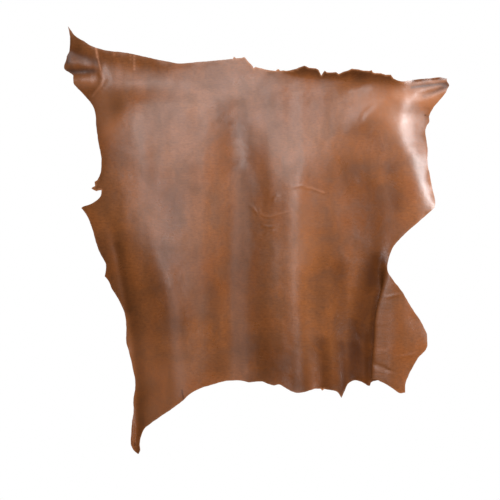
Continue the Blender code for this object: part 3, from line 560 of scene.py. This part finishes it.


# Stains, wear and painted light by place: strength from 0 to 1, reach in dots. The grain reads them as
# attributes: dark dye together with painted shade, dye rubbed pale together with painted sheen, and places
# matted by wear, where the polish is dry.
Mark = namedtuple("Mark", "name strength reach path")
darkDyeAndShade = [
    # painted shade under the torn edge, which nods forward, over darker dye there
    Mark("torn edge", 0.7, 8.0, [(322, 71), (345, 72), (372, 75), (394, 78)]),
    Mark("torn edge, left part", 0.4, 7.0, [(290, 68), (318, 71)]),
    # painted shade in the deep trough, at the keel's foot and beside the overlapping lobe
    Mark("deep trough", 1.0, 16.0, [(356, 346), (356, 392)]),
    Mark("deep trough, right side", 0.9, 9.0, [(366, 336), (367, 392)]),
    Mark("deep trough, upper end", 0.9, 17.0, [(376, 262), (364, 296), (357, 336)]),
    Mark("keel foot, right side", 0.85, 9.0, [(341, 345), (345, 392)]),
    Mark("overlap shade", 0.85, 6.0, [(376, 292), (372, 320), (369, 376)]),
    # painted shade along the groove by the left edge
    Mark("strip line", 0.4, 4.5, [(117, 245), (122, 275), (128, 310)]),
    Mark("leg", 0.2, 3.0, [(134, 390), (134, 430), (136, 450)]),
    # painted shade at the right pinch and in the right corner's valleys and rolled rim
    Mark("right pinch", 1.0, 2.6, [(443, 85), (448, 85)]),
    Mark("right upper valley", 0.95, 1.5, [(412, 87.4), (425, 85.8), (446, 83.2)]),
    Mark("right lower valley", 0.95, 2.4, [(424, 96.2), (435, 92), (446, 86.4)]),
    Mark("right rolled rim", 0.95, 1.3, [(412, 80.6), (428, 79.4), (446, 78)]),
    Mark("beside the right turn", 0.45, 10.0, [(390, 168), (396, 205)]),
    Mark("left swell, low", 0.42, 22.0, [(160, 285), (176, 322)]),
    Mark("beside the left crest", 0.34, 14.0, [(176, 205), (168, 240), (164, 262)]),
    # painted shade on the keel's right flank
    Mark("keel, right flank low", 0.3, 16.0, [(322, 262), (326, 300), (328, 330)]),
    Mark("below the left shoulder", 0.24, 16.0, [(162, 192), (166, 224)]),
    # painted shadow at the left grip
    Mark("left grip", 0.8, 3.0, [(68, 40), (69, 50), (68, 62)]),
    Mark("upper middle", 0.4, 15.0, [(222, 116), (238, 130), (240, 165)]),
    # painted shade down the middle trough and the valley left of it
    Mark("middle trough", 0.32, 15.0, [(238, 215), (236, 350)]),
    Mark("left of the trough, low", 0.32, 15.0, [(212, 290), (216, 365)]),
    Mark("below the top edge", 0.2, 14.0, [(230, 80), (262, 84)]),
    # painted shade on both flanks of the keel and at its foot
    Mark("keel, left side", 0.25, 18.0, [(240, 150), (252, 240), (256, 300), (256, 380)]),
    Mark("keel, right side", 0.6, 14.0, [(340, 270), (342, 330), (342, 392)]),
    Mark("keel foot", 0.75, 12.0, [(322, 345), (326, 392)]),
    # painted shade in the right hollow, below the crest and right of the keel
    Mark("right hollow", 0.5, 22.0, [(356, 172), (370, 200), (372, 260)]),
    Mark("below the crest", 0.25, 12.0, [(352, 124), (366, 128), (380, 145)]),
    Mark("right of the keel", 0.2, 18.0, [(330, 240), (330, 330)]),
    # painted shade in the left corner's pinch and upper valley
    Mark("left pinch", 0.9, 3.0, [(67, 71.5), (80, 71.5), (93, 71)]),
    Mark("left upper valley", 0.6, 4.5, [(72, 52), (82, 57), (96, 62)]),
    # darker towards the hem in the middle: painted shade, over some darker dye
    Mark("low middle", 0.42, 26.0, [(240, 330), (262, 355), (296, 380)]),
    # painted shade in the slits
    Mark("hem slit", 1.0, 0.7, [(182.0, 390), (182.5, 394), (183.8, 400)]),
    Mark("right slit", 1.0, 0.7, [(424.0, 115.2), (428.7, 116.8)]),
    Mark("short slit above it", 0.6, 0.7, [(424.6, 107.6), (428.4, 108.3)]),
    # painted shade in the old nail holes
    Mark("old nail mark", 1.0, 1.0, [(134.8, 443.4), (134.8, 445.4)]),
    Mark("lower nail mark", 0.6, 0.8, [(135.4, 447.2), (135.6, 447.8)]),
]
rubbedAndSheen = [
    Mark("scratch", 0.5, 0.7, [(134.2, 55.4), (134.0, 62), (134.5, 70)]),
    # painted sheen: the paler shoulders, corner faces, corner ridge, low left side and keel stand for light
    # caught on faces turned to the lamps
    Mark("paler right shoulder", 0.2, 17.0, [(372, 104), (392, 108), (402, 124)]),
    Mark("paler left shoulder", 0.26, 12.0, [(102, 104), (108, 128)]),
    Mark("paler left corner face", 0.2, 6.0, [(79, 83), (94, 82)]),
    Mark("paler left corner ridge", 0.25, 1.6, [(101, 72), (103.5, 79), (101, 85), (93, 96)]),
    Mark("paler left low", 0.10, 17.0, [(138, 350), (146, 376), (172, 378), (158, 410)]),
    Mark("paler right corner", 0.36, 8.0, [(398, 96), (418, 98), (438, 98)]),
    Mark("paler keel", 0.1, 14.0, [(303, 200), (302, 258)]),
    Mark("short scratch", 0.3, 0.6, [(130.4, 55), (130.7, 62)]),
    Mark("edge scratch", 0.7, 0.7, [(112.4, 51.4), (114.2, 55.4)]),
    Mark("squiggle", 0.25, 0.9, [(306.7, 187.4), (312, 188.2), (318, 190.5), (323.9, 192.5)]),
    Mark("long crease", 0.15, 0.8, [(260.7, 214), (264, 216), (270, 216.6), (277, 214.6), (286, 212)]),
    Mark("left corner wedge, top", 0.8, 1.2, [(95.8, 47), (97.6, 57)]),
    Mark("left corner wedge, point", 0.65, 0.7, [(97.8, 57), (100.8, 70)]),
]
matted = [
    Mark("middle trough", 1.0, 8.0, [(243, 175), (242, 250), (238, 300), (240, 345), (238, 390)]),
    Mark("left crest, low", 0.5, 6.0, [(174, 290), (177, 330), (181, 392)]),
    Mark("beside the second pipe", 0.5, 9.0, [(195, 170), (196, 240), (198, 310)]),
    Mark("right corner valleys", 0.9, 3.5, [(412, 87.4), (425, 85.8), (446, 83.2)]),
    Mark("right corner lower valley", 0.9, 3.5, [(424, 96.2), (435, 92), (446, 86.4)]),
    Mark("left corner upper valley", 0.8, 5.0, [(68, 56), (80, 57), (98, 62)]),
    Mark("left corner pinch", 0.8, 3.0, [(66, 71.5), (80, 71.5), (95, 71)]),
]


def sumOfMarks(points, rows):
    total = np.zeros(len(points))
    for row in rows:
        near = nearPath(points, row.path, row.reach)
        distance, _ = toPath(points[near], row.path)
        total[near] = np.maximum(total[near], row.strength * np.exp(-(distance / row.reach) ** 2))
    return total


# The grain face, the flesh face and the cut edge.
grainFinish = {
    "dye": (0.190, 0.056, 0.0125, 1.0),
    # deep colour for the grain's speckles, and for the painted shade of the dark marks
    "deepDyeAndShade": (0.044, 0.0115, 0.0022, 1.0),
    "warmDye": (0.232, 0.072, 0.0165, 1.0),
    "umberDye": (0.122, 0.041, 0.0105, 1.0),
    # pale colour for rubbed dye, and for the painted sheen of the pale marks
    "rubbedDyeAndSheen": (0.55, 0.24, 0.13, 1.0),
    "roughness": (0.29, 0.36),
    "dulling": -0.11,         # added to the roughness where the dye and painted shade are darkest
    "matting": 0.26,          # added where the polish is worn dry
    "cloudsPerMetre": 5.0,
    "mottlesPerMetre": 15.0,
    "streaksPerMetre": 34.0,
    "specklesPerMetre": 260.0,
    "wrinklesPerMetre": 170.0,
    "wrinkleDepth": 0.00014,
    "poresPerMetre": 900.0,
    "poreDepth": 0.00005,
}
fleshFinish = {
    "suede": (0.36, 0.205, 0.12, 1.0),
    "suedeDark": (0.235, 0.12, 0.065, 1.0),
    "roughness": 0.95,
    "sheen": 0.35,
    "sheenRoughness": 0.5,
    "cloudsPerMetre": 9.0,
    "napPerMetre": 420.0,
    "napDepth": 0.0006,
}
rimFinish = {
    "fibre": (0.42, 0.17, 0.07, 1.0),
    "fibreDark": (0.22, 0.085, 0.035, 1.0),
    "roughness": 0.85,
    "fibresPerMetre": 700.0,
    "tornShows": (0.9, 0.9),  # strength of bare fibre on the face at torn stretches, and its reach in dots
    "cutShows": (0.25, 0.8),  # the same along the whole edge
}


def newMaterial(name):
    material = bpy.data.materials.new(name)
    material.use_nodes = True
    tree = material.node_tree
    return material, tree, tree.nodes["Principled BSDF"]


def addNode(tree, kind, inputs=None, **settings):
    node = tree.nodes.new(kind)
    for key, value in settings.items():
        setattr(node, key, value)
    for key, value in (inputs or {}).items():
        if hasattr(value, "node"):
            tree.links.new(value, node.inputs[key])
        else:
            node.inputs[key].default_value = value
    return node


def flatPlace(tree):
    return addNode(tree, "ShaderNodeUVMap", uv_map="spread").outputs["UV"]


def noiseOf(tree, place, scale, detail=4.0, roughness=0.55, distortion=0.0):
    values = {"Scale": scale, "Detail": detail, "Roughness": roughness, "Distortion": distortion}
    return addNode(tree, "ShaderNodeTexNoise", {"Vector": place, **values}).outputs["Fac"]


def squeezed(tree, place, across, down):
    scale = (across, down, 1.0)
    return addNode(tree, "ShaderNodeMapping", {"Vector": place, "Scale": scale}).outputs["Vector"]


def rangeOf(tree, value, low, high, newLow=0.0, newHigh=1.0):
    node = addNode(tree, "ShaderNodeMapRange", {
        "Value": value, "From Min": low, "From Max": high, "To Min": newLow, "To Max": newHigh})
    return node.outputs["Result"]


def mathOf(tree, operation, a, b):
    return addNode(tree, "ShaderNodeMath", {0: a, 1: b}, operation=operation).outputs["Value"]


def mixColor(tree, share, a, b):
    # this node has its colours at inputs 6 and 7, and the mixed colour at output 2
    return addNode(tree, "ShaderNodeMix", {0: share, 6: a, 7: b}, data_type="RGBA").outputs[2]


def attributeOf(tree, name):
    return addNode(tree, "ShaderNodeAttribute", attribute_name=name).outputs["Fac"]


def bumpOf(tree, height, distance, normal=None):
    inputs = {"Height": height, "Distance": distance, "Strength": 1.0}
    if normal is not None:
        inputs["Normal"] = normal
    return addNode(tree, "ShaderNodeBump", inputs).outputs["Normal"]


def makeGrain():
    material, tree, shader = newMaterial("dyed_grain")
    place = flatPlace(tree)
    cloud = noiseOf(tree, place, grainFinish["cloudsPerMetre"], 3.0, 0.6, 0.4)
    mottle = noiseOf(tree, place, grainFinish["mottlesPerMetre"], 6.0, 0.66, 0.5)
    drawnDown = squeezed(tree, place, 1.0, 0.22)
    streak = noiseOf(tree, drawnDown, grainFinish["streaksPerMetre"], 4.0, 0.6, 0.3)
    drawnAcross = squeezed(tree, place, 0.45, 1.0)
    speckle = noiseOf(tree, drawnAcross, grainFinish["specklesPerMetre"], 4.0, 0.65)
    color = mixColor(tree, rangeOf(tree, cloud, 0.42, 0.62), grainFinish["dye"], grainFinish["warmDye"])
    color = mixColor(tree, rangeOf(tree, mottle, 0.42, 0.70, 0.0, 0.75), color, grainFinish["umberDye"])
    color = mixColor(tree, rangeOf(tree, streak, 0.46, 0.72, 0.0, 0.50), color, grainFinish["umberDye"])
    color = mixColor(tree, rangeOf(tree, speckle, 0.42, 0.78, 0.0, 0.45), color, grainFinish["deepDyeAndShade"])
    patchy = rangeOf(tree, mottle, 0.30, 0.60, 0.75, 1.0)
    # the dark marks mix in the deep colour: painted shade in folds, troughs, slits and pinches, and darker
    # dye
    dark = mathOf(tree, "MULTIPLY", attributeOf(tree, "darkDyeAndShade"), patchy)
    color = mixColor(tree, dark, color, grainFinish["deepDyeAndShade"])
    grainy = rangeOf(tree, speckle, 0.35, 0.6, 0.6, 1.0)
    # the pale marks: rubbed dye on scratches and creases, and painted sheen on faces turned to the lamps
    wearAndSheen = mathOf(tree, "MULTIPLY", attributeOf(tree, "rubbedAndSheen"), grainy)
    color = mixColor(tree, wearAndSheen, color, grainFinish["rubbedDyeAndSheen"])
    fibrous = rangeOf(tree, speckle, 0.40, 0.62, 0.3, 1.0)
    edge = mathOf(tree, "MULTIPLY", attributeOf(tree, "rawEdge"), fibrous)
    color = mixColor(tree, edge, color, rimFinish["fibre"])
    tree.links.new(color, shader.inputs["Base Color"])
    low, high = grainFinish["roughness"]
    rough = rangeOf(tree, mottle, 0.35, 0.65, low, high)
    dulled = mathOf(tree, "MULTIPLY", attributeOf(tree, "darkDyeAndShade"), grainFinish["dulling"])
    rough = mathOf(tree, "ADD", rough, dulled)
    dry = mathOf(tree, "MULTIPLY", attributeOf(tree, "matted"), grainFinish["matting"])
    tree.links.new(mathOf(tree, "ADD", rough, dry), shader.inputs["Roughness"])
    pores = addNode(tree, "ShaderNodeTexVoronoi", {
        "Vector": place, "Scale": grainFinish["poresPerMetre"], "Randomness": 1.0}).outputs["Distance"]
    poreHeight = rangeOf(tree, pores, 0.05, 0.6)
    wrinkle = noiseOf(tree, place, grainFinish["wrinklesPerMetre"], 5.0, 0.6, 1.2)
    normal = bumpOf(tree, wrinkle, grainFinish["wrinkleDepth"])
    normal = bumpOf(tree, poreHeight, grainFinish["poreDepth"], normal)
    tree.links.new(normal, shader.inputs["Normal"])
    return material


def makeFlesh():
    material, tree, shader = newMaterial("flesh_side")
    place = flatPlace(tree)
    cloud = noiseOf(tree, place, fleshFinish["cloudsPerMetre"], 5.0, 0.65, 0.8)
    nap = noiseOf(tree, place, fleshFinish["napPerMetre"], 4.0, 0.7)
    color = mixColor(tree, rangeOf(tree, cloud, 0.38, 0.66), fleshFinish["suedeDark"], fleshFinish["suede"])
    color = mixColor(tree, rangeOf(tree, nap, 0.35, 0.7, 0.0, 0.45), color, fleshFinish["suedeDark"])
    tree.links.new(color, shader.inputs["Base Color"])
    shader.inputs["Roughness"].default_value = fleshFinish["roughness"]
    shader.inputs["Sheen Weight"].default_value = fleshFinish["sheen"]
    shader.inputs["Sheen Roughness"].default_value = fleshFinish["sheenRoughness"]
    tree.links.new(bumpOf(tree, nap, fleshFinish["napDepth"]), shader.inputs["Normal"])
    return material


def makeRim():
    material, tree, shader = newMaterial("cut_edge")
    place = flatPlace(tree)
    fibre = noiseOf(tree, place, rimFinish["fibresPerMetre"], 3.0, 0.7)
    color = mixColor(tree, rangeOf(tree, fibre, 0.35, 0.65), rimFinish["fibreDark"], rimFinish["fibre"])
    tree.links.new(color, shader.inputs["Base Color"])
    shader.inputs["Roughness"].default_value = rimFinish["roughness"]
    return material


def faceNormals(places, triangles):
    a, b, c = places[triangles[:, 0]], places[triangles[:, 1]], places[triangles[:, 2]]
    return np.cross(b - a, c - a)


def pointNormals(places, triangles):
    normals = np.zeros_like(places)
    faces = faceNormals(places, triangles)
    for corner in range(3):
        np.add.at(normals, triangles[:, corner], faces)
    return normals / np.linalg.norm(normals, axis=1)[:, None]


def openSides(triangles):
    # the sides that no second triangle shares
    used = dict.fromkeys(pair for a, b, c in triangles for pair in ((a, b), (b, c), (c, a)))
    return [pair for pair in used if (pair[1], pair[0]) not in used]


def bareFibre(spots, edgeGap):
    # how much raw fibre shows on the face beside the cut edge, from 0 to 1
    tornGap = np.full(len(spots), np.inf)
    for stretch in cutEdge:
        if stretch.line == "ragged":
            tornGap = np.minimum(tornGap, toPath(spots, stretch.points)[0])
    (tornStrength, tornReach), (cutStrength, cutReach) = rimFinish["tornShows"], rimFinish["cutShows"]
    shown = tornStrength * np.exp(-(tornGap / tornReach) ** 2)
    return np.minimum(shown + cutStrength * np.exp(-(edgeGap / cutReach) ** 2), 1.0)


def makeHide():
    loop = edgeLoop()
    spots = np.vstack([loop, innerPoints(loop)])
    border = [(index, (index + 1) % len(loop)) for index in range(len(loop))]
    flat = [Vector((x, -y)) for x, y in spots]
    flat, _, faces, *_ = delaunay_2d_cdt(flat, border, [], 1, 1e-6)
    spots = np.array([(point.x, -point.y) for point in flat])
    triangles = np.array(faces)
    print("stage 2: outline of", len(loop), "points,", len(triangles), "triangles a side")
    edgeGap = edgeDistance(spots, loop)
    places = hangInSpace(spots, edgeGap)
    normals = pointNormals(places, triangles)
    atEdge = hideShape["edgeThickness"]
    thin = atEdge + (1.0 - atEdge) * smoothRise(edgeGap, 0.0, hideShape["edgeThinReach"])
    half = 0.5 * hideShape["thickness"] * thin[:, None] * normals
    count = len(spots)
    front = [tuple(face) for face in triangles]
    back = [(c + count, b + count, a + count) for a, b, c in triangles]
    sides = [(b, a, a + count, b + count) for a, b in openSides(triangles)]
    mesh = bpy.data.meshes.new("hide_leather")
    mesh.from_pydata(np.vstack([places + half, places - half]).tolist(), [], front + back + sides)
    for material in (makeGrain(), makeFlesh(), makeRim()):
        mesh.materials.append(material)
    slots = np.repeat([0, 1, 2], [len(front), len(back), len(sides)])
    mesh.polygons.foreach_set("material_index", slots)
    flatUv = np.vstack([spots, spots]) * dot * (1.0, -1.0)
    corners = np.zeros(len(mesh.loops), dtype=np.int32)
    mesh.loops.foreach_get("vertex_index", corners)
    uv = mesh.uv_layers.new(name="spread")
    uv.data.foreach_set("uv", flatUv[corners].ravel())
    marks = {
        "darkDyeAndShade": sumOfMarks(spots, darkDyeAndShade),
        "rubbedAndSheen": sumOfMarks(spots, rubbedAndSheen),
        "matted": sumOfMarks(spots, matted),
        "rawEdge": bareFibre(spots, edgeGap),
    }
    for name, values in marks.items():
        layer = mesh.attributes.new(name, "FLOAT", "POINT")
        layer.data.foreach_set("value", np.concatenate([values, values]).astype(np.float32))
    mesh.shade_smooth()
    mesh.set_sharp_from_angle(angle=math.radians(hideShape["sharpAngle"]))
    mesh.update()
    hide = bpy.data.objects.new("hide_leather", mesh)
    scene.collection.objects.link(hide)
    area = 0.5 * np.linalg.norm(faceNormals(places, triangles), axis=1).sum()
    print("stage 3: hide built, cloth area", round(float(area), 4), "square metres")
    return hide


hide = makeHide()
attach(hide, "root")
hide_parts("hide")


# White studio: a big soft light in front and above, a strip in front, and one light at the right side,
# which casts no shadow, so that the shade beside the lobe stays soft.
Light = namedtuple("Light", "name watts size place shadow")
studio = {
    "floorDrop": 0.90,        # below the leg's end
    "floorRadius": 2.3,
    "floorColor": (0.86, 0.85, 0.83, 1.0),
    "roomLight": 0.30,        # lights the dye, but stays out of the gloss
    "lightColor": (0.95, 0.97, 1.0),
    "lights": [
        Light("key", 46.0, (1.8, 1.4), (-0.15, -2.9, 1.15), True),
        Light("side", 68.0, (0.26, 1.3), (1.85, -1.25, 0.2), False),
        Light("strip", 20.0, (0.5, 1.75), (-0.2, -3.1, -0.12), True),
    ],
    "aimAt": (0.0, 0.0, -0.42),
}


def makeFloor():
    mesh = bpy.data.meshes.new("floor")
    corners = 96
    level = cadBox[0][2] - studio["floorDrop"]
    ring = [(studio["floorRadius"] * math.cos(2 * math.pi * k / corners),
             studio["floorRadius"] * math.sin(2 * math.pi * k / corners), level) for k in range(corners)]
    mesh.from_pydata(ring, [], [tuple(range(corners))])
    material, _, shader = newMaterial("pale_floor")
    shader.inputs["Base Color"].default_value = studio["floorColor"]
    shader.inputs["Roughness"].default_value = 0.8
    mesh.materials.append(material)
    floor = bpy.data.objects.new("floor", mesh)
    scene.collection.objects.link(floor)
    floor.visible_glossy = False


def makeLight(row):
    data = bpy.data.lights.new(row.name, "AREA")
    data.use_shadow = row.shadow
    data.shape = "RECTANGLE"
    data.size, data.size_y = row.size
    data.energy = row.watts
    data.color = studio["lightColor"]
    light = bpy.data.objects.new(row.name, data)
    light.location = row.place
    aim = Vector(studio["aimAt"]) - Vector(row.place)
    light.rotation_euler = aim.to_track_quat("-Z", "Y").to_euler()
    scene.collection.objects.link(light)


def makeRoom():
    world = bpy.data.worlds.new("white_room")
    world.use_nodes = True
    tree = world.node_tree
    tree.nodes.clear()
    white = (1.0, 1.0, 1.0, 1.0)
    seen = addNode(tree, "ShaderNodeBackground", {"Color": white, "Strength": 1.0})
    glow = addNode(tree, "ShaderNodeBackground", {"Color": white, "Strength": studio["roomLight"]})
    ray = addNode(tree, "ShaderNodeLightPath")
    mix = addNode(tree, "ShaderNodeMixShader")
    tree.links.new(ray.outputs["Is Camera Ray"], mix.inputs[0])
    tree.links.new(glow.outputs[0], mix.inputs[1])
    tree.links.new(seen.outputs[0], mix.inputs[2])
    output = addNode(tree, "ShaderNodeOutputWorld")
    tree.links.new(mix.outputs[0], output.inputs["Surface"])
    world.cycles_visibility.glossy = False
    scene.world = world


def makeCamera():
    data = bpy.data.cameras.new("camera")
    data.sensor_width = 36.0
    data.lens = data.sensor_width * hideShape["eyeDistance"] / (hideShape["pictureWidth"] * dot)
    data.clip_end = 50.0
    camera = bpy.data.objects.new("camera", data)
    middle, origin = hideShape["pictureMiddle"], hideShape["pictureOrigin"]
    across = (middle[0] - origin[0]) * dot
    down = (middle[1] - origin[1]) * dot
    camera.location = (across, -hideShape["eyeDistance"], -down)
    camera.rotation_euler = (math.radians(90.0), 0.0, 0.0)
    scene.collection.objects.link(camera)
    scene.camera = camera


makeFloor()
for row in studio["lights"]:
    makeLight(row)
makeRoom()
makeCamera()
scene.view_settings.view_transform = "Standard"
scene.view_settings.look = "None"
print("stage 4: studio and camera ready")
